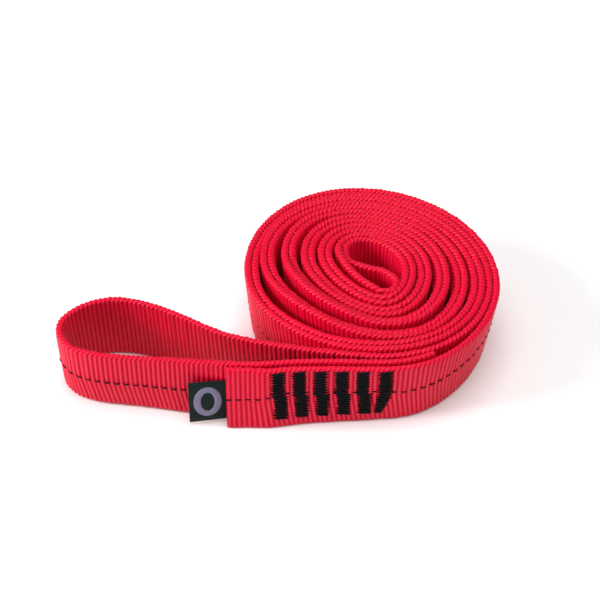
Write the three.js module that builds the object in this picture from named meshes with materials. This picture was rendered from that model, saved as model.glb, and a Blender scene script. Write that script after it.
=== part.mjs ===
// An endless sewn sling of flat tubular webbing, folded in half, rolled up and standing on its edge.
// One strap runs from its outer cut end into the coil, turns back at the centre, comes out again
// beside itself, makes the free bight on the left, and ends under its own outer cut end in a lap
// that six bar tacks sew together. A woven label is caught in that lap.
import * as THREE from 'three';

// Driving dimensions, in millimetres and degrees.
const WEBBING_WIDTH = 20;
const WEBBING_THICKNESS = 1.6; // pressed flat between its neighbours
const LAYER_PITCH = 1.88; // from the middle of one wound layer to the middle of the next
const COIL_CENTRE = [17.3, 2.35];
const COIL_RADIUS = 31.65; // to the face between the two outermost layers, at the front
const OVAL = 1.6; // how far the coil is longer and shorter than round
const OVAL_AXIS = -40.5; // plan direction of its long axis
const FRONT = -90; // plan direction of the coil's front, where the winding starts
const INNER_END = 2070; // winding angle at which the outer strand reaches the centre
const FOLD_END = 1990; // winding angle at which the returning strand leaves the centre
const WINDING_STEP = 20;

// Places where the turns have sprung apart: a direction, and the gap inside each turn there.
const SLACK = [
  { direction: 200, gaps: [0.5, 1.4, 1.2, 0.4, 0.3] },
  { direction: -5, gaps: [0, 0.6, 0.3, 0.8, 0.2] },
];

// The lap, where the strap's two ends are sewn over each other at the coil's front.
const LAP_LEAD = 4.6; // from the coil's outermost face out to the middle of the outer end
const LAP_SPACING = 2.4; // between the middles of the lap's two layers
const LAP_BLEND = 80; // winding angle over which the outer end settles back on the coil
const INNER_CUT = -58; // plan direction of the inner cut end
const OUTER_CUT_X = -18;

const TACK_COUNT = 6;
const TACK_FIRST_X = -5;
const TACK_PITCH = 5.16;
const TACK_WIDTH = 3.6;
const TACK_HEIGHT = 16.6;
const TACK_TEETH = 10;
const TOOTH_DEPTH = 0.35;
const THREAD_DEPTH = 0.35; // how far the thread stands on the webbing
const THREAD_GAP = 0.2;

const LABEL_HEIGHT = 12.6;
const LABEL_THICKNESS = 0.5; // two leaves of ribbon, folded flat
const LABEL_TAB_LENGTH = 9.4;
const LABEL_HINGE_X = -18.6; // where the free tab bends, just outside the cut end
const LABEL_ROOT_END_X = -3.5;
const LABEL_BASE = 1.4; // height of the label's lower edge
const EMBLEM = { width: 7, height: 9.8, band: 1.8, thickness: 0.2, gap: 0.1 };

const TRACER_HEIGHT = 0.6;
const TRACER_THICKNESS = 0.2;
const TRACER_GAP = 0.15;

const radians = THREE.MathUtils.degToRad;
const smoother = (u) => THREE.MathUtils.smootherstep(u, 0, 1);

const webbingRed = new THREE.MeshStandardMaterial({ color: 0xd4163a, roughness: 0.75, metalness: 0 });
const threadBlack = new THREE.MeshStandardMaterial({ color: 0x15151a, roughness: 0.6, metalness: 0 });
const labelGreen = new THREE.MeshStandardMaterial({ color: 0x1c2f29, roughness: 0.8, metalness: 0 });
const emblemGrey = new THREE.MeshStandardMaterial({ color: 0x8481a4, roughness: 0.8, metalness: 0 });

// The coil is a spiral given by its support function: the distance from the centre to the tangent
// that faces each direction. Adding a constant to it gives an exact parallel curve.
function interfaceDistance(angle) {
  let distance = COIL_RADIUS - (2 * LAYER_PITCH * (angle - FRONT)) / 360;
  distance += OVAL * Math.cos(radians(2 * (angle - OVAL_AXIS)));
  for (const { direction, gaps } of SLACK) {
    const share = ((1 + Math.cos(radians(angle - direction))) / 2) ** 2;
    gaps.forEach((gap, turn) => {
      if (angle > direction - 180 + 360 * (turn + 1)) distance -= gap * share;
    });
  }
  return distance;
}

function coilPoint(angle, offset) {
  const distance = (a) => interfaceDistance(a) + offset(a);
  const step = 0.05;
  const slope = (distance(angle + step) - distance(angle - step)) / (2 * radians(step));
  const [c, s] = [Math.cos(radians(angle)), Math.sin(radians(angle))];
  const d = distance(angle);
  return new THREE.Vector3(COIL_CENTRE[0] + d * c - slope * s, COIL_CENTRE[1] + d * s + slope * c, 0);
}

// The outer strand stands away from the coil at the lap, and settles on it within LAP_BLEND.
function lapOffset(angle) {
  const rest = LAYER_PITCH / 2;
  return rest + (LAP_LEAD - rest) * (1 - smoother((angle - FRONT) / LAP_BLEND));
}

const outerStrand = (angle) => coilPoint(angle, lapOffset);
const innerStrand = (angle) => coilPoint(angle, () => -LAYER_PITCH / 2);
const innerLap = (angle) => coilPoint(angle, (a) => lapOffset(a) - LAP_SPACING);

function winding(strand, from, to) {
  const count = Math.ceil(Math.abs(to - from) / WINDING_STEP);
  return Array.from({ length: count + 1 }, (_, i) => strand(from + ((to - from) * i) / count));
}

const plan = (pairs) => pairs.map(([x, y]) => new THREE.Vector3(x, y, 0));

const lapY = outerStrand(FRONT).y; // the middle of the lap's outer layer, which is straight
const lapInnerY = lapY + LAP_SPACING;

// The outer cut end flares a little away from the layer under it.
const OUTER_TAIL = plan([
  [OUTER_CUT_X, lapY - 1.2],
  [-13, lapY - 0.65],
  [-8, lapY - 0.2],
  [-3, lapY],
  [4, lapY],
  [12, lapY],
]);

// The tight fold at the centre of the coil, and the tongue that leads back from it.
const CENTRE_FOLD = plan([
  [23.1, -5],
  [24.2, -3.4],
  [23.8, -1.7],
  [21.9, -0.5],
  [19.1, 0.7],
  [16.1, 2.4],
  [13.7, 4.3],
]);

// The free bight, from the coil's front round to the lap's inner layer.
const BIGHT = plan([
  [9, -27],
  [0, -25.4],
  [-10, -23],
  [-20, -19.3],
  [-30, -13.8],
  [-39, -9.8],
  [-47, -8.7],
  [-54, -10.6],
  [-58, -15],
  [-58.6, -20.4],
  [-55.4, -25.2],
  [-49, -28.1],
  [-40, -29.3],
  [-30, -30.1],
  [-20, -30.9],
  [-11, lapInnerY],
  [-2, lapInnerY],
  [9, lapInnerY],
]);

const outerRun = [...OUTER_TAIL, ...winding(outerStrand, FRONT, INNER_END)];
const innerRun = winding(innerStrand, FOLD_END, FRONT);
const lapRun = winding(innerLap, FRONT, INNER_CUT);

// The middle of the whole strap, on one smooth curve with a point at each route point and between them.
const route = [...outerRun, ...CENTRE_FOLD, ...innerRun, ...BIGHT, ...lapRun];
const curve = new THREE.CatmullRomCurve3(route, false, 'centripetal');
const webbingLine = curve.getPoints(2 * (route.length - 1));

function stretch(from, to) {
  return webbingLine.slice(2 * route.indexOf(from), 2 * route.indexOf(to) + 1);
}

// The point beside each point of a line, on the right of its direction, which is the strap's outer face.
function beside(line, distance) {
  return line.map((point, i) => {
    const before = line[Math.max(i - 1, 0)];
    const after = line[Math.min(i + 1, line.length - 1)];
    const along = after.clone().sub(before).normalize();
    return new THREE.Vector2(point.x + along.y * distance, point.y - along.x * distance);
  });
}

// A strip on its edge: a plan line with a thickness, raised from one height to another. Each point of
// the line gives a section of four corners, and each step between sections gives four flat walls.
function strip(line, offset, thickness, base, height) {
  const outside = beside(line, offset + thickness / 2);
  const inside = beside(line, offset - thickness / 2);
  const top = base + height;
  const corners = outside.flatMap(({ x, y }, i) => {
    const far = inside[i];
    return [x, y, base, x, y, top, far.x, far.y, top, far.x, far.y, base];
  });
  const last = 4 * (line.length - 1);
  const faces = [0, 1, 2, 0, 2, 3, last, last + 2, last + 1, last, last + 3, last + 2];
  for (let section = 0; section < last; section += 4) {
    for (let corner = 0; corner < 4; corner += 1) {
      const here = section + corner;
      const beyond = section + ((corner + 1) % 4);
      faces.push(here, here + 4, beyond + 4, here, beyond + 4, beyond);
    }
  }
  const geometry = new THREE.BufferGeometry();
  geometry.setAttribute('position', new THREE.Float32BufferAttribute(corners, 3));
  return geometry.setIndex(faces);
}

function part(name, geometry, material) {
  const mesh = new THREE.Mesh(geometry, material);
  mesh.name = name;
  return mesh;
}

function webbing() {
  const geometry = strip(webbingLine, 0, WEBBING_THICKNESS, 0, WEBBING_WIDTH);
  return part('webbing', geometry, webbingRed);
}

// The contrasting yarn woven along the middle of the outer face, where that face is exposed.
function tracer(name, line) {
  const offset = WEBBING_THICKNESS / 2 + TRACER_GAP + TRACER_THICKNESS / 2;
  const base = (WEBBING_WIDTH - TRACER_HEIGHT) / 2;
  const geometry = strip(line, offset, TRACER_THICKNESS, base, TRACER_HEIGHT);
  return part(name, geometry, threadBlack);
}

// One side of a bar tack: a block of zigzag thread, its edges toothed by the stitches.
function tackThread(name, x, y) {
  const corners = [];
  for (const side of [1, -1]) {
    for (let i = 0; i <= 2 * TACK_TEETH; i += 1) {
      const reach = TACK_WIDTH / 2 - (i % 2) * TOOTH_DEPTH;
      const height = (TACK_HEIGHT * i) / (2 * TACK_TEETH) - TACK_HEIGHT / 2;
      corners.push(new THREE.Vector2(side * reach, side * height));
    }
  }
  const options = { depth: THREAD_DEPTH, bevelEnabled: false };
  const geometry = new THREE.ExtrudeGeometry(new THREE.Shape(corners), options);
  geometry.translate(0, 0, -THREAD_DEPTH / 2).rotateX(Math.PI / 2);
  const mesh = part(name, geometry, threadBlack);
  mesh.position.set(x, y, WEBBING_WIDTH / 2);
  return mesh;
}

// A lockstitch tack shows its needle thread on the lap's outer face and its bobbin thread inside.
function barTacks() {
  const reach = WEBBING_THICKNESS / 2 + THREAD_GAP + THREAD_DEPTH / 2;
  const tacks = new THREE.Group();
  for (let i = 0; i < TACK_COUNT; i += 1) {
    const x = TACK_FIRST_X + i * TACK_PITCH;
    tacks.add(tackThread(`bar_tack_${i + 1}_needle_thread`, x, lapY - reach));
    tacks.add(tackThread(`bar_tack_${i + 1}_bobbin_thread`, x, lapInnerY + reach));
  }
  return tacks;
}

const labelY = (lapY + lapInnerY) / 2;
const BEND_GAP = 0.4; // from the bend line to the free tab

function labelLeaf(name, fromX, toX) {
  const geometry = new THREE.BoxGeometry(toX - fromX, LABEL_THICKNESS, LABEL_HEIGHT);
  const mesh = part(name, geometry, labelGreen);
  mesh.position.set((fromX + toX) / 2, labelY, LABEL_BASE + LABEL_HEIGHT / 2);
  return mesh;
}

// A plain oval ring, standing on the outer face of the tab.
function emblem() {
  const { width, height, band, thickness, gap } = EMBLEM;
  const ring = new THREE.Shape().absellipse(0, 0, width / 2, height / 2, 0, 2 * Math.PI);
  const eye = new THREE.Path().absellipse(0, 0, width / 2 - band, height / 2 - band, 0, 2 * Math.PI);
  ring.holes.push(eye);
  const options = { depth: thickness, bevelEnabled: false, curveSegments: 24 };
  const geometry = new THREE.ExtrudeGeometry(ring, options).rotateX(Math.PI / 2);
  const mesh = part('label_emblem', geometry, emblemGrey);
  const y = labelY - LABEL_THICKNESS / 2 - gap;
  mesh.position.set(LABEL_HINGE_X - BEND_GAP - LABEL_TAB_LENGTH / 2, y, LABEL_BASE + LABEL_HEIGHT / 2);
  return mesh;
}

function label() {
  const tabEnd = LABEL_HINGE_X - BEND_GAP;
  const leaves = new THREE.Group();
  leaves.add(labelLeaf('label_root', LABEL_HINGE_X + LABEL_THICKNESS / 2, LABEL_ROOT_END_X));
  leaves.add(labelLeaf('label_tab', tabEnd - LABEL_TAB_LENGTH, tabEnd));
  leaves.add(emblem());
  return leaves;
}

function sling() {
  const group = new THREE.Group();
  group.add(webbing());
  group.add(tracer('tracer_yarn_coil', stretch(outerRun[7], outerRun[22])));
  group.add(tracer('tracer_yarn_bight', stretch(BIGHT[1], BIGHT[13])));
  group.add(barTacks());
  group.add(label());
  return group;
}

// The frame's origin is under the middle of the whole object, on the surface that it stands on.
const group = sling();
const middle = new THREE.Box3().setFromObject(group).getCenter(new THREE.Vector3());
group.position.set(-middle.x, -middle.y, 0);

export default group;
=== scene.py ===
"""A sewn sling of red tubular webbing: a loop folded in half, rolled up and standing on its edge.

Plan positions are in millimetres, in the frame that the route is drawn in, and are moved into the
row frame by the place of the first bar tack. A point of the webbing is found by its distance along
the strap, its height above the strap's middle and its offset towards the outer face.
"""
import math

import bpy
import numpy as np
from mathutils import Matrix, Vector


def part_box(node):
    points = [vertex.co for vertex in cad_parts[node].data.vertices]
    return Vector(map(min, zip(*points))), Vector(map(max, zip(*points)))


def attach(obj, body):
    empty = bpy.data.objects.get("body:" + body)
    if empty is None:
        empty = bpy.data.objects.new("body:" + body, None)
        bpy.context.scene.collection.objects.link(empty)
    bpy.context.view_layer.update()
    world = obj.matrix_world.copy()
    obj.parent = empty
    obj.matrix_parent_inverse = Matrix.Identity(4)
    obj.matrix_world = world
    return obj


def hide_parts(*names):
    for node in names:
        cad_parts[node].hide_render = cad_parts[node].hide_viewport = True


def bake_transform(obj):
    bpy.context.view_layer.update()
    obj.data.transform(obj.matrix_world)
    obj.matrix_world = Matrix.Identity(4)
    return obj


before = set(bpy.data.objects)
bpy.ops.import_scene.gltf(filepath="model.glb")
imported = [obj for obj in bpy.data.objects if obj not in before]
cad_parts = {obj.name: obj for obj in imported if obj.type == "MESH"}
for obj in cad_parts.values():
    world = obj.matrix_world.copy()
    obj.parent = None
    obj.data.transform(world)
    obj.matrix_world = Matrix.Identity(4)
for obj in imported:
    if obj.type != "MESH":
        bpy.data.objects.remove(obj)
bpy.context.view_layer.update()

MM = 0.001

# ---------------------------------------------------------------- the camera
TARGET = Vector((4.754, 0.843, 10)) * MM
ELEVATION = math.radians(43.5)
DISTANCE = 0.490
LENS, SENSOR = 114, 36
camera = bpy.data.objects.new("camera", bpy.data.cameras.new("camera"))
bpy.context.scene.collection.objects.link(camera)
camera.data.lens = LENS
camera.data.sensor_width = SENSOR
camera.data.clip_start = 0.02
camera.data.clip_end = 20
back = Vector((0, -math.cos(ELEVATION), math.sin(ELEVATION)))
camera.location = TARGET + back * DISTANCE
camera.rotation_euler = (-back).to_track_quat("-Z", "Y").to_euler()
bpy.context.scene.camera = camera

# ---------------------------------------------------------------- the strap's route
HALF_WIDTH = 10.0
HALF_THICKNESS = 0.95
LAYER_PITCH = 1.88
COIL_CENTRE = (17.3, 2.35)
COIL_RADIUS = 31.65
COIL_OVAL, COIL_OVAL_AXIS = 1.6, -40.5
# Winding angles, in degrees round the coil from +X: where the winding starts, and where the outer
# strand ends and the inner one begins, at the fold in the middle.
FRONT, INNER_END, FOLD_END = -90, 2070, 1980
# At the lap the outer layer stands out from the coil, and the inner layer ends behind it.
LAP_LEAD, LAP_SPACING, LAP_BLEND, INNER_CUT = 4.3, 2.4, 80, -58
OUTER_CUT_X = -18
# The webbing leans outward, most at the front, and less on the layers of the lap.
LEAN, LEAN_SWING, LEAN_DIRECTION, LAP_UPRIGHT = 0.7, 0.75, -95, 0.65
# The front right of the coil flares: its rims stay put and its feet are drawn in.
FLARE, FLARE_DIRECTION, FLARE_POWER = 0.6, -28, 3

# Where the turns have sprung apart: a direction, how narrow the place is, and the gap in each turn.
SLACK = (
    (190, 5, (0.45, 0, 0, 0, 0)),
    (180, 5, (0, 1.0, 0, 0, 0)),
    (222, 8, (1.0, 0.6, 0, 0, 0)),
    (160, 4, (0, 0, 1.4, 0, 0)),
    (148, 4, (0, 0, 0, 0.6, 0.5)),
    (-15, 5, (0, 0.6, 0.9, 0.9, 0.2)),
)
# Where one turn alone stands out or in: a winding angle, how narrow the place is, and how far.
SWELL = ((147, 10, -0.8), (208, 20, 1.05), (545, 10, 0.5), (1655, 12, -0.4), (2014, 12, -1.3))

# The coil is a low cone: its turns stand higher towards the middle.
CONE_RISE, CONE_START, CONE_SPAN = 1.6, 90, 1900
# How far each strand has crept up out of the cone: a winding angle and a height.
LIFT_SOFTENING = 12
LIFT = {
    "outer": (
        (0, 0), (245, 0), (270, .55), (300, .4), (340, 0), (550, 0), (570, 1), (584, 2.7), (594, 2.85),
        (602, 2.3), (616, .9), (630, .4), (660, -.4), (720, -.2), (780, 0), (910, 0), (922, 2.2),
        (938, 2.9), (960, 2.9), (970, 2), (976, 1.1), (990, .5), (1018, .1), (1060, 0), (1270, 0),
        (1288, 1.3), (1306, 1.2), (1330, .5), (1350, -.3), (1380, -.3), (1430, 0), (1630, 0),
        (1650, .8), (1670, .7), (1700, -.2), (1720, -.4), (1760, 0), (1965, 0), (2000, 1),
        (2025, .8), (2050, 0),
    ),
    "inner": (
        (0, 0), (245, 0), (270, .55), (300, .4), (340, 0), (565, 0), (578, .9), (588, 1.2), (600, .85),
        (616, .3), (630, -.1), (650, -.8), (662, -1), (700, -.6), (760, 0), (910, 0), (922, .6),
        (936, 1.4), (950, 1.5), (962, 1.3), (976, .6), (990, -.3), (1020, -.5), (1060, -.3),
        (1120, 0), (1260, 0), (1280, .6), (1295, .7), (1330, .1), (1350, -.5), (1390, -.2), (1440, 0),
        (1620, 0), (1642, .8), (1665, .6), (1700, -.2), (1760, 0),
    ),
}


def smoother(share):
    """From 0 to 1, with no step in slope or curvature at either end."""
    share = np.clip(share, 0, 1)
    return share * share * share * (10 - 15 * share + 6 * share * share)


def near(angle, direction, power):
    """1 where the angle points in the direction, and falling to 0 on the far side."""
    return ((1 + np.cos(np.radians(angle - direction))) / 2) ** power


def interface_distance(angle):
    """From the coil's centre to the face between a turn's two strands, as a support function."""
    distance = COIL_RADIUS - 2 * LAYER_PITCH * (angle - FRONT) / 360
    distance = distance + COIL_OVAL * np.cos(np.radians(2 * (angle - COIL_OVAL_AXIS)))
    for direction, power, gaps in SLACK:
        for turn, gap in enumerate(gaps):
            inside = angle > direction + 180 + 360 * turn
            distance = distance - np.where(inside, gap, 0) * near(angle, direction, power)
    for at, power, gap in SWELL:
        distance = distance + np.where(abs(angle - at) < 180, gap, 0) * near(angle, at, power)
    return distance - FLARE * near(angle, FLARE_DIRECTION, FLARE_POWER)


def by_the_lap(angle):
    return 1 - smoother((angle - FRONT) / LAP_BLEND)


def lap_lead(angle):
    """From the interface to the outer strand's middle."""
    rest = LAYER_PITCH / 2
    return rest + (LAP_LEAD - rest) * by_the_lap(angle)


def strand(angle, kind):
    """Stations of the winding: x, y, how far the upper edge leans in x and y, and the rise."""
    offset = {
        "outer": lap_lead,
        "inner": lambda a: -LAYER_PITCH / 2 + 0 * a,
        "lap": lambda a: lap_lead(a) - LAP_SPACING,
    }[kind]
    step = 0.05
    distance = interface_distance(angle) + offset(angle)
    ahead = interface_distance(angle + step) + offset(angle + step)
    behind = interface_distance(angle - step) + offset(angle - step)
    slope = (ahead - behind) / (2 * math.radians(step))
    east, north = np.cos(np.radians(angle)), np.sin(np.radians(angle))
    lean = LEAN + LEAN_SWING * np.cos(np.radians(angle - LEAN_DIRECTION))
    lean = lean + FLARE * near(angle, FLARE_DIRECTION, FLARE_POWER)
    if kind != "inner":
        lean = lean - LAP_UPRIGHT * by_the_lap(angle)
    if kind == "lap":
        rise = 0 * angle
    else:
        cone = CONE_RISE * np.clip((angle - CONE_START) / CONE_SPAN, 0, 1.1)
        spread = np.linspace(-LIFT_SOFTENING, LIFT_SOFTENING, 9)
        rise = cone + np.interp(np.add.outer(angle, spread), *zip(*LIFT[kind])).mean(-1)
    x = COIL_CENTRE[0] + distance * east - slope * north
    y = COIL_CENTRE[1] + distance * north + slope * east
    return np.column_stack([x, y, lean * east, lean * north, rise])


def winding(kind, start, end, step=5.0):
    """A strand's stations, about a step of winding angle apart."""
    return strand(np.linspace(start, end, int(round(abs(end - start) / step)) + 1), kind)


# Where the strap isn't wound, its stations are listed, in the same five measures.
OUTER_TAIL = [
    (OUTER_CUT_X, -34.75, 0, 0.35, 0),
    (-13, -34.77, 0, 0.22, 0),
    (-8, -34.95, 0, 0.15, 0),
    (-3.5, -34.4, 0, 0.05, 0),
    (1, -33.9, 0, -0.2, 0),
    (6, -33.65, 0, -0.4, 0),
    (11, -33.45, 0, -0.65, 0),
    (14.5, -33.38, 0, -0.75, 0),
]
CENTRE_FOLD = [
    (22.36, -6.66, 0.2, -1.3, 1.6),
    (23.32, -5.84, 0.4, -1.1, 1.6),
    (23.86, -4.59, 0.5, -0.8, 1.6),
    (23.88, -3.57, 0.4, -0.6, 1.6),
    (23.19, -2.37, 0.3, -0.5, 1.6),
    (22.17, -1.17, 0.1, -0.5, 1.6),
    (20.91, 0.37, 0, -1.0, 1.6),
    (18.40, 1.22, 0, -1.1, 1.6),
    (16.51, 1.88, 0, -1.0, 1.6),
    (14.72, 2.43, -0.1, -0.8, 1.6),
    (13.52, 3.00, -0.4, -0.4, 1.6),
    (12.60, 4.10, -0.7, -0.3, 1.6),
]
BIGHT = [
    (9, -27, 0, -1.45, 0),
    (0, -25.4, 0, -1.55, 0),
    (-10, -23, 0, -1.75, 0),
    (-20, -19.3, 0, -2.1, 0),
    (-30, -14.5, 0, -1.0, 0),
    (-39, -10.5, 0, -0.65, 0),
    (-47, -9.2, 0, -0.5, 0),
    (-54, -11.15, 0, -0.75, 0),
    (-58.5, -15.4, -0.3, -1.2, 0),
    (-59.1, -20.4, -0.25, -1.2, 0),
    (-55.9, -25.2, -0.3, -1.3, 0),
    (-49, -27.8, 0, -1.4, 0),
    (-40, -29.0, 0, -1.3, 0),
    (-30, -30.35, 0, -0.8, 0),
    (-20, -31.5, 0, -0.55, 0),
    (-11, -32.3, 0, -0.15, 0),
    (-2, -31.5, 0, -0.2, 0),
    (6, -31.05, 0, -0.45, 0),
    (12, -30.95, 0, -0.65, 0),
]


def blend(start, end, before, after, at):
    """From one value to another while at goes from start to end, and straight on beyond them."""
    return ((end - at) * before + (at - start) * after) / (end - start)


def smooth_line(points, count):
    """A centripetal Catmull-Rom curve through the points, with count samples from each to the next."""
    posts = np.vstack([2 * points[0] - points[1], points, 2 * points[-1] - points[-2]])
    spans = np.linalg.norm(np.diff(posts[:, :2], axis=0), axis=1)
    knots = np.concatenate([[0], np.cumsum(spans**0.5)])
    share = np.arange(count)[:, None] / count
    line = []
    for first in range(len(posts) - 3):
        post, knot = posts[first : first + 4], knots[first : first + 4]
        at = knot[1] + (knot[2] - knot[1]) * share
        close = [blend(knot[k], knot[k + 1], post[k], post[k + 1], at) for k in range(3)]
        wide = [blend(knot[k], knot[k + 2], close[k], close[k + 1], at) for k in range(2)]
        line.append(blend(knot[1], knot[2], wide[0], wide[1], at))
    return np.vstack(line + [points[-1:]])


class Ribbon:
    """A strip on its edge that follows stations, measured along its own length."""

    def __init__(self, stations, count):
        self.line = smooth_line(np.array(stations, float), count)
        steps = np.linalg.norm(np.diff(self.line[:, :2], axis=0), axis=1)
        self.along = np.concatenate([[0], np.cumsum(steps)])
        self.length = self.along[-1]
        tangent = np.gradient(self.line[:, :2], self.along, axis=0)
        self.tangent = tangent / np.linalg.norm(tangent, axis=1)[:, None]

    def at(self, distance, height, offset):
        """The point at a distance along, a height above the middle and an offset to the outer face."""
        distance, height, offset = np.broadcast_arrays(distance, height, offset)
        x, y, lean_x, lean_y, rise = (np.interp(distance, self.along, c) for c in self.line.T)
        ahead_x, ahead_y = (np.interp(distance, self.along, c) for c in self.tangent.T)
        size = np.hypot(ahead_x, ahead_y)
        upright = np.sqrt(1 - (lean_x**2 + lean_y**2) / HALF_WIDTH**2)
        share = height / HALF_WIDTH
        x = x + ahead_y / size * offset + lean_x * share
        y = y - ahead_x / size * offset + lean_y * share
        return np.stack([x, y, HALF_WIDTH + rise + height * upright], -1)

    def distance_at_x(self, x, start, end):
        """Where a stretch that runs towards +X reaches x."""
        inside = (self.along >= start) & (self.along <= end)
        return np.interp(x, self.line[inside, 0], self.along[inside])


SAMPLES = 10  # of the strap, from each station to the next
lap_winding = winding("lap", FRONT, INNER_CUT)
stations = np.vstack(
    [
        OUTER_TAIL,
        winding("outer", FRONT, INNER_END),
        CENTRE_FOLD,
        winding("inner", FOLD_END, FRONT),
        BIGHT,
        lap_winding,
    ]
)
strap = Ribbon(stations, SAMPLES)


def along_at_station(index):
    return strap.along[SAMPLES * index]


# Distances along the strap. The outer tail, with the tacks, is taken to end 50 degrees into the coil.
# The next turn covers the outermost one from 20 degrees past its start.
# The bight's twelfth station is back at the front, and its fifteenth is just before the lap.
TURN_STATIONS = 72
tail_count = len(OUTER_TAIL)
bight_station = len(stations) - len(lap_winding) - len(BIGHT)
tail_end = along_at_station(tail_count + 10)
first_turn_end = along_at_station(tail_count + TURN_STATIONS + 4)
bight_from = along_at_station(bight_station)
bight_front_from = along_at_station(bight_station + 11)
lap_inner_from = along_at_station(bight_station + 14)

# The first bar tack's middle, in plan and in the row frame, says where the plan lies.
TACK_FIRST_X, TACK_PITCH = -5, 5.16
TACK_PLAN_Y = -34.825
tack_low, tack_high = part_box("bar_tack_1_needle_thread")
origin = np.array(
    [
        (tack_low.x + tack_high.x) / 2 / MM - TACK_FIRST_X,
        (tack_low.y + tack_high.y) / 2 / MM - TACK_PLAN_Y,
        0,
    ]
)


# ---------------------------------------------------------------- meshes and materials
def make_object(name, vertices, faces, material):
    """An object in metres from points in plan millimetres, with smooth quads and flat end caps."""
    mesh = bpy.data.meshes.new(name)
    mesh.from_pydata(((np.asarray(vertices) + origin) * MM).tolist(), [], faces)
    mesh.polygons.foreach_set("use_smooth", [len(f) <= 4 for f in faces])
    mesh.materials.append(material)
    mesh.update()
    made = bpy.data.objects.new(name, mesh)
    bpy.context.scene.collection.objects.link(made)
    return made


def grid_faces(rows, ring, first=0, capped=True):
    """Quads of a closed tube of rows, each a ring of points, facing outward, with an end cap each."""
    i, j = np.meshgrid(np.arange(rows - 1), np.arange(ring), indexing="ij")
    a, b = first + i * ring + j, first + i * ring + (j + 1) % ring
    faces = np.stack([a, b, b + ring, a + ring], -1).reshape(-1, 4).tolist()
    if capped:
        faces.append([first + k for k in reversed(range(ring))])
        faces.append([first + (rows - 1) * ring + k for k in range(ring)])
    return faces


def set_tube_uv(made, u, w):
    """UVs for a tube: u for each row, and w for each ring point and for the seam's other side."""
    rows, ring = len(u), len(w) - 1
    layer = made.data.uv_layers.new(name="UVMap")
    uv = np.zeros((len(made.data.loops), 2), np.float32)
    i, j = np.meshgrid(np.arange(rows - 1), np.arange(ring), indexing="ij")
    corners = ((i, j), (i, j + 1), (i + 1, j + 1), (i + 1, j))
    quads = np.stack([np.stack([u[row], w[point]], -1) for row, point in corners], 2).reshape(-1, 2)
    uv[: len(quads)] = quads
    layer.data.foreach_set("uv", uv.ravel())


def set_point_uv(made, uv):
    """UVs that every corner takes from its point."""
    layer = made.data.uv_layers.new(name="UVMap")
    corners = np.zeros(len(made.data.loops), int)
    made.data.loops.foreach_get("vertex_index", corners)
    layer.data.foreach_set("uv", uv[corners].astype(np.float32).ravel())


def new_material(name):
    """A material, its nodes and links, and its shader node."""
    made = bpy.data.materials.new(name)
    made.use_nodes = True
    nodes = made.node_tree.nodes
    return made, nodes, made.node_tree.links, nodes["Principled BSDF"]


def maths(nodes, links, operation, a, b=None, c=None):
    """A maths node's output; each of its inputs is a number or another node's output."""
    node = nodes.new("ShaderNodeMath")
    node.operation = operation
    for socket, value in zip(node.inputs, (a, b, c)):
        if isinstance(value, (int, float)):
            socket.default_value = value
        elif value is not None:
            links.new(value, socket)
    return node.outputs[0]


def mix(nodes, links, factor, a, b):
    """A colour from a to b by the factor."""
    node = nodes.new("ShaderNodeMix")
    node.data_type = "RGBA"
    for socket, value in zip((node.inputs[0], node.inputs[6], node.inputs[7]), (factor, a, b)):
        if isinstance(value, tuple):
            socket.default_value = (*value, 1)
        elif isinstance(value, (int, float)):
            socket.default_value = value
        else:
            links.new(value, socket)
    return node.outputs[2]


def noise(nodes, links, scale, detail=2.0):
    """Noise in the object's own metres."""
    node = nodes.new("ShaderNodeTexNoise")
    node.inputs["Scale"].default_value = scale
    node.inputs["Detail"].default_value = detail
    links.new(nodes.new("ShaderNodeTexCoord").outputs["Object"], node.inputs["Vector"])
    return node.outputs["Fac"]


def bump(nodes, links, height, strength, distance, shader):
    """Gives the shader a relief: a height from 0 to 1 over a distance in metres."""
    node = nodes.new("ShaderNodeBump")
    node.inputs["Strength"].default_value = strength
    node.inputs["Distance"].default_value = distance
    links.new(height, node.inputs["Height"])
    links.new(node.outputs["Normal"], shader.inputs["Normal"])


def split_uv(nodes, links):
    """U and V as two outputs."""
    uv = nodes.new("ShaderNodeUVMap")
    uv.uv_map = "UVMap"
    parts = nodes.new("ShaderNodeSeparateXYZ")
    links.new(uv.outputs[0], parts.inputs[0])
    return parts.outputs["X"], parts.outputs["Y"]


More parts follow.
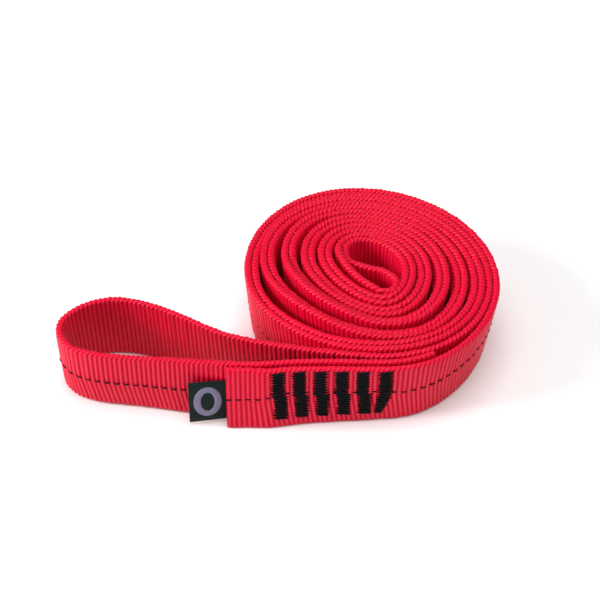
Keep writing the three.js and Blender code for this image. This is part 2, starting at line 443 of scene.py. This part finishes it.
def webbing_material():
    """Nylon: warp yarns side by side over each rib, staggered from rib to rib, with painted shade darker
    in the grooves and between yarns and a painted highlight lighter on the crests and yarn middles.
    """
    made, nodes, links, shader = new_material("red_nylon")
    u, w = split_uv(nodes, links)
    rib = nodes.new("ShaderNodeAttribute")
    rib.attribute_name = "rib"
    height = rib.outputs["Fac"]
    odd = maths(nodes, links, "FLOORED_MODULO", maths(nodes, links, "FLOOR", u), 2)
    staggered = maths(nodes, links, "MULTIPLY_ADD", odd, 0.5, w)
    across = maths(nodes, links, "FRACT", staggered)
    yarn = maths(nodes, links, "SINE", maths(nodes, links, "MULTIPLY", across, math.pi))
    broad = noise(nodes, links, 90)
    fine = noise(nodes, links, 2600, 3)
    tone = mix(nodes, links, broad, (0.80, 0.003, 0.036), (0.88, 0.005, 0.052))
    # Painted light and shade: lit is high on rib crests and yarn middles and low in grooves and between
    # yarns. It takes the colour from the tone down to a dark red. Fine noise adds random tone.
    crest = maths(nodes, links, "POWER", height, 0.8)
    lit = maths(nodes, links, "MULTIPLY_ADD", yarn, 0.45, 0.6)
    lit = maths(nodes, links, "MULTIPLY", lit, crest)
    lit = maths(nodes, links, "MULTIPLY_ADD", fine, 0.3, maths(nodes, links, "SUBTRACT", lit, 0.15))
    # The dark red is the painted shade of the grooves.
    colour = mix(nodes, links, lit, (0.50, 0.0, 0.018), tone)
    links.new(colour, shader.inputs["Base Color"])
    relief = maths(nodes, links, "MULTIPLY_ADD", fine, 0.25, yarn)
    bump(nodes, links, relief, 0.7, 0.00007, shader)
    shader.inputs["Roughness"].default_value = 0.4
    links.new(maths(nodes, links, "MULTIPLY_ADD", height, 0.36, 0.0), shader.inputs["Specular IOR Level"])
    shader.inputs["Sheen Weight"].default_value = 0.25
    shader.inputs["Sheen Roughness"].default_value = 0.14
    shader.inputs["Sheen Tint"].default_value = (1, 0.55, 0.62, 1)
    return made


def thread_material(name, colour, roughness):
    """Twisted thread: slanting plies along each tube, with a painted highlight on the plies' crowns and
    painted shade between them.
    """
    made, nodes, links, shader = new_material(name)
    u, w = split_uv(nodes, links)
    slant = maths(nodes, links, "ADD", u, w)
    ply = maths(nodes, links, "SINE", maths(nodes, links, "MULTIPLY", slant, 2 * math.pi))
    fuzz = noise(nodes, links, 3000)
    # Painted light and shade: the plies are lighter on their crowns and darker between them. The fuzz
    # noise adds random tone.
    light = maths(nodes, links, "MULTIPLY_ADD", ply, 0.3, maths(nodes, links, "MULTIPLY", fuzz, 0.8))
    brighter = tuple(2 * c for c in colour)
    links.new(mix(nodes, links, light, colour, brighter), shader.inputs["Base Color"])
    bump(nodes, links, ply, 0.5, 0.00004, shader)
    shader.inputs["Roughness"].default_value = roughness
    shader.inputs["Specular IOR Level"].default_value = 0.09
    return made


def ribbon_material(name, colour, other, per_mm):
    """A woven label: fine picks one way, so many to the millimetre, and the warp the other."""
    made, nodes, links, shader = new_material(name)
    u, w = split_uv(nodes, links)
    turn = 2 * math.pi * per_mm
    across = maths(nodes, links, "SINE", maths(nodes, links, "MULTIPLY", u, turn))
    upward = maths(nodes, links, "SINE", maths(nodes, links, "MULTIPLY", w, turn * 0.8))
    weave = maths(nodes, links, "MULTIPLY", across, upward)
    level = maths(nodes, links, "MULTIPLY_ADD", weave, 0.5, 0.5)
    fuzz = noise(nodes, links, 1500, 3)
    share = maths(nodes, links, "MULTIPLY_ADD", fuzz, 0.5, maths(nodes, links, "MULTIPLY", level, 0.5))
    links.new(mix(nodes, links, share, colour, other), shader.inputs["Base Color"])
    bump(nodes, links, level, 0.5, 0.00004, shader)
    shader.inputs["Roughness"].default_value = 0.7
    shader.inputs["Specular IOR Level"].default_value = 0.12
    shader.inputs["Sheen Weight"].default_value = 0.02
    return made


red_nylon = webbing_material()
black_thread = thread_material("black_thread", (0.002, 0.002, 0.003), 0.45)
tracer_yarn = thread_material("tracer_yarn", (0.003, 0.002, 0.003), 0.6)
label_ground = ribbon_material("label_ground", (0.002, 0.008, 0.006), (0.006, 0.020, 0.016), 4.0)
label_figure = ribbon_material("label_figure", (0.03, 0.028, 0.06), (0.36, 0.33, 0.50), 1.6)

# ---------------------------------------------------------------- the webbing
RIB_PITCH = 1.19
PHASES = np.array([0.0, 0.2, 0.5, 0.8])  # groove, shoulder, crest, shoulder
RIB_DEPTH, BIGHT_DEEPER, PRESSED_SHALLOWER, RIM_SHALLOWER = 0.27, 0.05, 0.13, 0.06
RIM_HEIGHT, RIM_RADIUS, RIM_SQUARENESS = 9.1, 0.9, 0.85
# On the rims the ribs of the two faces meet at a middle height, and some of the relief goes sideways.
# That middle height also paints the rims' middles darker in the shader, as painted shade between the two
# rows of ribs.
RIM_MIDDLE_RIB, RIM_BULGE = 0.35, 0.25
FACE_MIDDLE = -0.5
YARN_WIDTH = 0.56
UNEVENNESS = 0.035
# Near its cut ends the weft runs straight across, over this much of the strap.
STRAIGHT_END = 14
# The bight's deeper ribs fade in and out over this much of it.
BIGHT_BLEND = 25
# How much the sewing has thinned each face of the lap and smoothed its ribs, and how softly its press
# fades: past an X on the outer layer, and short of a distance along the inner one.
PRESSED_THINNER, PRESSED_SMOOTHER, PRESS_REACH = 0.10, 0.3, 8
PRESS_OUTER_END_X, PRESS_INNER_START = 26, 9
# How far the bight's front is bowed out along its middle, and how softly that ends.
CREASE, CREASE_REACH = 0.35, 20
# How far the weft has run along at each point round the tube: down the outer face, round the lower
# rim, up the inner face and over the upper rim.
WEFT_LEAD = np.concatenate(
    [
        (0, 0, 1.1),
        (1.13, 1.16, 1.2, 1.23, 1.26),
        (1.3, 1.55, 1.8),
        (1.7, 1.4, 0.95, 0.5, 0.15),
    ]
)
random = np.random.default_rng(5)

rib_count = int(round(strap.length / RIB_PITCH))
rib_pitch = strap.length / rib_count
rib_index = np.repeat(np.arange(rib_count), len(PHASES))
phase = np.concatenate([rib_index + np.tile(PHASES, rib_count), [rib_count]])
rib_index = np.append(rib_index, rib_count)

# The section round the tube: each point's height, its side (1 outer, -1 inner) and how far it
# faces up or down.
face_heights = np.array([RIM_HEIGHT, FACE_MIDDLE, -RIM_HEIGHT])
rim_turns = np.radians([28, 58, 90, 122, 152])
ring_height = np.concatenate(
    [
        face_heights,
        -RIM_HEIGHT - RIM_RADIUS * np.sin(rim_turns),
        -face_heights,
        RIM_HEIGHT + RIM_RADIUS * np.sin(rim_turns),
    ]
)
face_side, face_up = np.ones(3), np.zeros(3)
rim_side = np.sign(np.cos(rim_turns)) * np.abs(np.cos(rim_turns)) ** RIM_SQUARENESS
ring_side = np.concatenate([face_side, rim_side, -face_side, -rim_side])
ring_up = np.concatenate([face_up, -np.sin(rim_turns), face_up, np.sin(rim_turns)])
on_rim_middle = np.abs(ring_up) == 1
RING = len(ring_height)


def between(distance, start, end, soft):
    """1 from start to end, and falling smoothly to 0 within soft of them."""
    return smoother((distance - start) / soft + 1) * smoother((end - distance) / soft + 1)


press_outer_end = strap.distance_at_x(PRESS_OUTER_END_X, 0, tail_end)
press_inner_start = lap_inner_from + PRESS_INNER_START


def pressed(distance):
    """How far the lap's sewing has pressed the webbing flat there, from 0 to 1."""
    outer = between(distance, -strap.length, press_outer_end, PRESS_REACH)
    inner = between(distance, press_inner_start, 2 * strap.length, PRESS_REACH)
    return np.maximum(outer, inner)


def creased(distance):
    """How far the bight's front is bowed out there, along its middle."""
    return CREASE * between(distance, bight_front_from, lap_inner_from, CREASE_REACH)


def rib_profile(phase):
    """A rib's height from 0 in the grooves, at whole phases, to 1 on the crests."""
    return 1 - np.abs(np.cos(np.pi * phase)) ** 1.7


base_along = phase * rib_pitch
from_end = np.minimum(base_along, strap.length - base_along)
fade = smoother(from_end / STRAIGHT_END)[:, None]
grid_along = base_along[:, None] + WEFT_LEAD[None, :] * fade

outer_rib = rib_profile(phase)
inner_rib = rib_profile(phase + 0.5)
toward_outer = np.clip(0.5 + 1.6 * ring_side, 0, 1)[None, :]
rib = outer_rib[:, None] * toward_outer + inner_rib[:, None] * (1 - toward_outer)
rib[:, on_rim_middle] = RIM_MIDDLE_RIB
uneven = random.normal(0, UNEVENNESS, (rib_count + 1, 2))[rib_index]
jitter = uneven[:, :1] * toward_outer + uneven[:, 1:] * (1 - toward_outer)

press = pressed(grid_along)
on_bight = between(grid_along, bight_from, lap_inner_from, BIGHT_BLEND)
on_rim = (np.abs(ring_height) >= RIM_HEIGHT)[None, :]
depth = RIB_DEPTH + BIGHT_DEEPER * on_bight - PRESSED_SHALLOWER * press - RIM_SHALLOWER * on_rim
half = HALF_THICKNESS - PRESSED_THINNER * press
relief = (jitter - depth * (1 - rib)) * (1 - PRESSED_SMOOTHER * press)
bow = creased(grid_along) * (1 - np.abs(ring_height)[None, :] / HALF_WIDTH)
bulge = RIM_BULGE * (np.sign(ring_side) * (np.abs(ring_up) > 0))[None, :]
grid_offset = ring_side[None, :] * (half + relief) + bow + bulge * relief
grid_height = ring_height[None, :] + ring_up[None, :] * relief
webbing_points = strap.at(grid_along, grid_height, grid_offset).reshape(-1, 3)

webbing = make_object("webbing_strap", webbing_points, grid_faces(len(phase), RING), red_nylon)
section = np.column_stack([ring_height, ring_side])
sides = np.linalg.norm(np.diff(section, axis=0, append=section[:1]), axis=1)
girth = np.concatenate([[0], np.cumsum(sides)])
set_tube_uv(webbing, phase, girth / YARN_WIDTH)
# The rib height is also the shader's mask for painted light and shade: low values paint the colour
# darker, high ones lighter.
rib_layer = webbing.data.attributes.new("rib", "FLOAT", "POINT")
rib_layer.data.foreach_set("value", rib.astype(np.float32).ravel())
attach(webbing, "sling")
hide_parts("webbing")


# ---------------------------------------------------------------- threads
# The points round a thread, and how far its plies twist from row to row.
THREAD_RING, PLY_TURN = 6, 0.35


def tube(path, radii):
    """Points of a tube along a path that is nowhere upright, with a radius or two: side and up."""
    direction = np.gradient(path, axis=0)
    direction /= np.linalg.norm(direction, axis=1)[:, None]
    side = np.cross(direction, (0, 0, 1))
    side /= np.linalg.norm(side, axis=1)[:, None]
    above = np.cross(side, direction)
    turn = -2 * np.pi * np.arange(THREAD_RING) / THREAD_RING
    across, up = radii[:, :1], radii[:, -1:]
    return (
        path[:, None]
        + side[:, None] * (np.cos(turn)[None, :] * across)[..., None]
        + above[:, None] * (np.sin(turn)[None, :] * up)[..., None]
    ).reshape(-1, 3)


def threads(name, paths, material):
    """One piece made of many short tubes, each a path and its radii."""
    points, faces, count = [], [], 0
    for path, radii in paths:
        points.append(tube(path, radii))
        faces += grid_faces(len(path), THREAD_RING, count)
        count += len(path) * THREAD_RING
    made = make_object(name, np.vstack(points), faces, material)
    row, place = np.divmod(np.arange(count), THREAD_RING)
    set_point_uv(made, np.column_stack([row * PLY_TURN, place / THREAD_RING]))
    return made


# The tracer: a black yarn that floats over every second rib of the outer face, and wanders in height.
# Its floats are long beside the lap and short round the coil, where the yarn lies lower: a distance
# along the strap, with the floats' length and, below, the yarn's height there.
FLOAT_LENGTHS = ((70, 1.5), (95, 1.2), (120, 0.9), (160, 0.75))
# A float's radius upward, how flat it is, and how much its ends narrow. Then, over the webbing's face,
# how high its middle arches, how far its ends dive from there, and how far all of it sinks.
FLOAT_WIDTH, FLOAT_FLATNESS, FLOAT_TAPER = 0.22, 0.6, 0.35
FLOAT_ARCH, FLOAT_DIVE, FLOAT_SINK = 0.07, 0.34, 0.02
TRACER_BOW = 0.96  # how much of the bight's bow there is at the tracer's height
# The first stretch starts so far along the strap and the second so far round the bight, and that one
# runs on a little behind the outer tail.
TRACER_START, TRACER_BIGHT_START, TRACER_BEHIND_TAIL = 0.8, 12, 0.5
TRACER_HEIGHTS = (
    (0, 0), (8, 0.3), (11, 1.0), (15, 2.0), (21, 1.8), (32, 1.5), (37, 1.6), (44, 0.7), (52, 1.0),
    (58, 1.4), (68, 1.4), (76, 1.2), (90, 0.6), (110, -0.4), (160, -0.8), (185, -1.2), (230, -0.4),
)


def tracer_floats(start, end):
    """The paths and radii of the floats on a stretch of the strap; their ends dive into the webbing."""
    first = int(start / rib_pitch) // 2 * 2
    share = np.linspace(-1, 1, 7)
    longest = FLOAT_LENGTHS[0][1]
    paths = []
    for index in range(first, int(end / rib_pitch), 2):
        middle = (index + 0.5) * rib_pitch
        length = longest
        if middle < first_turn_end:
            length = np.interp(middle, *zip(*FLOAT_LENGTHS))
        shown = length / longest
        distance = middle + share * length / 2
        height = np.interp(middle, *zip(*TRACER_HEIGHTS)) + 0.05 * math.sin(index * 1.7)
        face = HALF_THICKNESS - PRESSED_THINNER * pressed(distance) + TRACER_BOW * creased(distance)
        arch = (FLOAT_ARCH - FLOAT_DIVE * share**4) * shown - FLOAT_SINK
        width = FLOAT_WIDTH * (0.4 + 0.6 * shown) * (1 - FLOAT_TAPER * share**4)
        radii = np.column_stack([FLOAT_FLATNESS * width, width])
        paths.append((strap.at(distance, height, face + arch), radii))
    return paths


bight_tracer_from = bight_from + TRACER_BIGHT_START
bight_tracer_to = strap.distance_at_x(OUTER_CUT_X + TRACER_BEHIND_TAIL, bight_front_from, strap.length)
coil_floats = tracer_floats(TRACER_START, first_turn_end)
bight_floats = tracer_floats(bight_tracer_from, bight_tracer_to)
tracer_coil = threads("tracer_floats_coil", coil_floats, tracer_yarn)
tracer_bight = threads("tracer_floats_bight", bight_floats, tracer_yarn)
for piece, node in ((tracer_coil, "tracer_yarn_coil"), (tracer_bight, "tracer_yarn_bight")):
    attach(piece, "sling")
    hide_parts(node)

# Bar tacks: close narrow passes with a wide zigzag over them, on the lap's two outer faces.
TACK_COUNT = 6
TACK_TOP, TACK_BOTTOM = 9.0, -6.9
# Each tack but the last has a step at this height, and its upper and lower parts lie so far aside.
TACK_STEP_HEIGHT, TACK_UPPER, TACK_LOWER = 0.6, -0.35, 0.25
# Below the step the last tack slants towards -X and narrows, by this much at this depth.
LAST_TACK_SLANT, LAST_TACK_NARROWING, LAST_TACK_DEPTH = 1.7, 0.38, 8
# Each layer of a tack: its reach to each side, its step down, its height over the webbing and how
# ragged its ends are.
TACK_LAYERS = ((1.15, 0.28, 0.04, 0.08), (1.8, 0.47, 0.17, 0.14))
STITCH_POINTS = 9
STITCH_RADII = np.full((STITCH_POINTS, 1), 0.19)
STITCH_SINK, STITCH_UNEVENNESS = 0.28, 0.02


def tack_middle(number, height):
    """The middle of a tack at a height, and its width there as a share of the nominal one."""
    middle = TACK_FIRST_X + number * TACK_PITCH
    lower = height < TACK_STEP_HEIGHT
    if number < TACK_COUNT - 1:
        return middle + (TACK_LOWER if lower else TACK_UPPER), 1
    share = (TACK_STEP_HEIGHT - height) / LAST_TACK_DEPTH if lower else 0
    return middle - LAST_TACK_SLANT * share, 1 - LAST_TACK_NARROWING * share


def tack_stitches(number, side, start, end):
    """The paths and radii of a tack's thread, on the face at that side of a stretch of the strap."""
    share = np.linspace(-1, 1, STITCH_POINTS)
    paths = []
    for reach, step, level, ragged in TACK_LAYERS:
        way = 1
        for height in np.arange(TACK_TOP, TACK_BOTTOM, -step):
            middle, narrowing = tack_middle(number, height)
            ends = reach * narrowing + random.normal(0, ragged, 2)
            x = middle + share * np.where(share < 0, ends[0], ends[1])
            face = HALF_THICKNESS - PRESSED_THINNER + level + random.normal(0, STITCH_UNEVENNESS)
            sink = (STITCH_SINK + level) * np.abs(share) ** 8
            slant = way * share * step / 2
            distance = strap.distance_at_x(x, start, end)
            paths.append((strap.at(distance, height + slant, side * (face - sink)), STITCH_RADII))
            way = -way
    return paths


for number in range(TACK_COUNT):
    for thread, side, start, end in (
        ("needle", 1, 0, tail_end),
        ("bobbin", -1, lap_inner_from, strap.length),
    ):
        name = f"bar_tack_{number + 1}_{thread}"
        paths = tack_stitches(number, side, start, end)
        piece = threads(f"{name}_stitches", paths, black_thread)
        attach(piece, "sling")
        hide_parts(f"{name}_thread")

# ---------------------------------------------------------------- the label
LABEL_BASE, LABEL_HEIGHT = 1.3, 13.0
LEAF_THICKNESS, LEAF_OFFSET = 0.2, 0.13
LABEL_EDGE = 0.55  # how thick the selvedges are, as a share of the leaf
LEAF_STEPS, FOLD_STEPS, LABEL_COLUMNS = 40, 6, 9
label_middle = LABEL_BASE + LABEL_HEIGHT / 2 - HALF_WIDTH
label_line = Ribbon(
    [
        (-3.5, -32.9, 0, 0, 0),
        (-8, -33.45, 0, 0, 0),
        (-13, -33.35, 0, 0, 0),
        (-18, -33.2, 0, 0.1, 0),
        (-22, -33.6, 0, 0.3, 0),
        (-27.3, -34.35, 0, 0.35, 0),
    ],
    12,
)
# The line runs towards -X, so its outer face is the far one, and a negative offset is the near leaf.
# The ribbon goes out on the near leaf, round the fold and back on the far one.
leaf = np.ones(LEAF_STEPS)
out = np.linspace(0, label_line.length - LEAF_OFFSET, LEAF_STEPS)
fold = np.radians(np.linspace(-90, 90, FOLD_STEPS + 2)[1:-1])
outward_along = np.concatenate([0 * leaf, np.cos(fold), 0 * leaf])
outward_offset = np.concatenate([-leaf, np.sin(fold), leaf])
centre_along = np.concatenate([out, out[-1] + LEAF_OFFSET * np.cos(fold), out[::-1]])
centre_offset = LEAF_OFFSET * outward_offset

label_heights = np.linspace(LABEL_HEIGHT / 2, -LABEL_HEIGHT / 2, LABEL_COLUMNS)
ring_heights = np.concatenate([label_heights, label_heights[::-1]])
ring_faces = np.repeat([1, -1], LABEL_COLUMNS)
ring_reach = np.where(np.abs(ring_heights) == LABEL_HEIGHT / 2, LABEL_EDGE, 1) * LEAF_THICKNESS / 2
reach = ring_faces * ring_reach
label_points = label_line.at(
    centre_along[:, None] + outward_along[:, None] * reach,
    label_middle + ring_heights,
    centre_offset[:, None] + outward_offset[:, None] * reach,
)
label_faces = grid_faces(len(centre_along), len(ring_heights))
label = make_object("label_ribbon", label_points.reshape(-1, 3), label_faces, label_ground)
label_steps = np.hypot(np.diff(centre_along), np.diff(centre_offset))
label_length = np.concatenate([[0], np.cumsum(label_steps)])
set_tube_uv(label, label_length, np.append(ring_heights, ring_heights[0]))

# The woven figure: a plain oval ring, raised a little on the near leaf and sunk a little into it.
OVAL_MIDDLE_X, OVAL_RADII, OVAL_BAND = -22.7, (3.5, 4.9), 1.8
OVAL_RELIEF, OVAL_SINK = 0.07, 0.06
OVAL_STEPS, BAND_STEPS = 64, 5
band = np.linspace(0, 1, BAND_STEPS)
share = np.concatenate([band, band[::-1]])
crown = np.abs(np.sin(math.pi * band)) ** 0.4
rise = np.concatenate([OVAL_RELIEF * crown, np.full(BAND_STEPS, -OVAL_SINK)])
turn = -2 * math.pi * np.arange(OVAL_STEPS)[:, None] / OVAL_STEPS
oval_x = OVAL_MIDDLE_X + (OVAL_RADII[0] - OVAL_BAND * share) * np.cos(turn)
oval_height = label_middle + (OVAL_RADII[1] - OVAL_BAND * share) * np.sin(turn)
oval_along = np.interp(-oval_x, -label_line.line[:, 0], label_line.along)
oval_offset = -(LEAF_OFFSET + LEAF_THICKNESS / 2 + rise)
oval_points = label_line.at(oval_along, oval_height, oval_offset).reshape(-1, 3)
i, j = np.meshgrid(np.arange(OVAL_STEPS), np.arange(len(share)), indexing="ij")
after, beyond = (i + 1) % OVAL_STEPS, (j + 1) % len(share)
oval_corners = ((i, j), (after, j), (after, beyond), (i, beyond))
oval_faces = np.stack([row * len(share) + point for row, point in oval_corners], -1)
emblem = make_object("label_oval_ring", oval_points, oval_faces.reshape(-1, 4).tolist(), label_figure)
set_point_uv(emblem, oval_points[:, [0, 2]])

# The label and its figure have their transforms baked into their meshes, and the model's label pieces are
# hidden.
for piece, slot in ((label, "label"), (emblem, "label_emblem")):
    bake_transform(piece)
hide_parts("label_root", "label_tab")
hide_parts("label_emblem")

# ---------------------------------------------------------------- floor and light
FLOOR_REACH = 3.0
floor_corners = [(x * FLOOR_REACH, y * FLOOR_REACH, 0) for x, y in ((-1, -1), (1, -1), (1, 1), (-1, 1))]
floor_mesh = bpy.data.meshes.new("floor")
floor_mesh.from_pydata(floor_corners, [], [(0, 1, 2, 3)])
floor = bpy.data.objects.new("floor", floor_mesh)
bpy.context.scene.collection.objects.link(floor)
floor_paint, nodes, links, shader = new_material("pale_floor")
grain = noise(nodes, links, 40)
tone = mix(nodes, links, grain, (0.90, 0.90, 0.90), (0.93, 0.93, 0.93))
links.new(tone, shader.inputs["Base Color"])
shader.inputs["Roughness"].default_value = 0.9
shader.inputs["Specular IOR Level"].default_value = 0.1
floor_mesh.materials.append(floor_paint)


def area_light(name, place, size, power):
    """A square white lamp that points at the middle of the view."""
    data = bpy.data.lights.new(name, "AREA")
    data.shape = "SQUARE"
    data.size = size
    data.energy = power
    lamp = bpy.data.objects.new(name, data)
    lamp.location = place
    lamp.rotation_euler = (TARGET - Vector(place)).to_track_quat("-Z", "Y").to_euler()
    bpy.context.scene.collection.objects.link(lamp)


area_light("key", (-0.92, -0.14, 0.47), 0.4, 11.0)
area_light("fill", (0.55, -0.75, 0.55), 0.8, 1.0)
area_light("top", (0.10, -0.05, 1.0), 0.9, 8.4)

world = bpy.data.worlds.new("studio")
world.use_nodes = True
background = world.node_tree.nodes["Background"]
background.inputs["Color"].default_value = (1, 1, 1, 1)
background.inputs["Strength"].default_value = 0.33
bpy.context.scene.world = world
bpy.context.scene.view_settings.view_transform = "Standard"
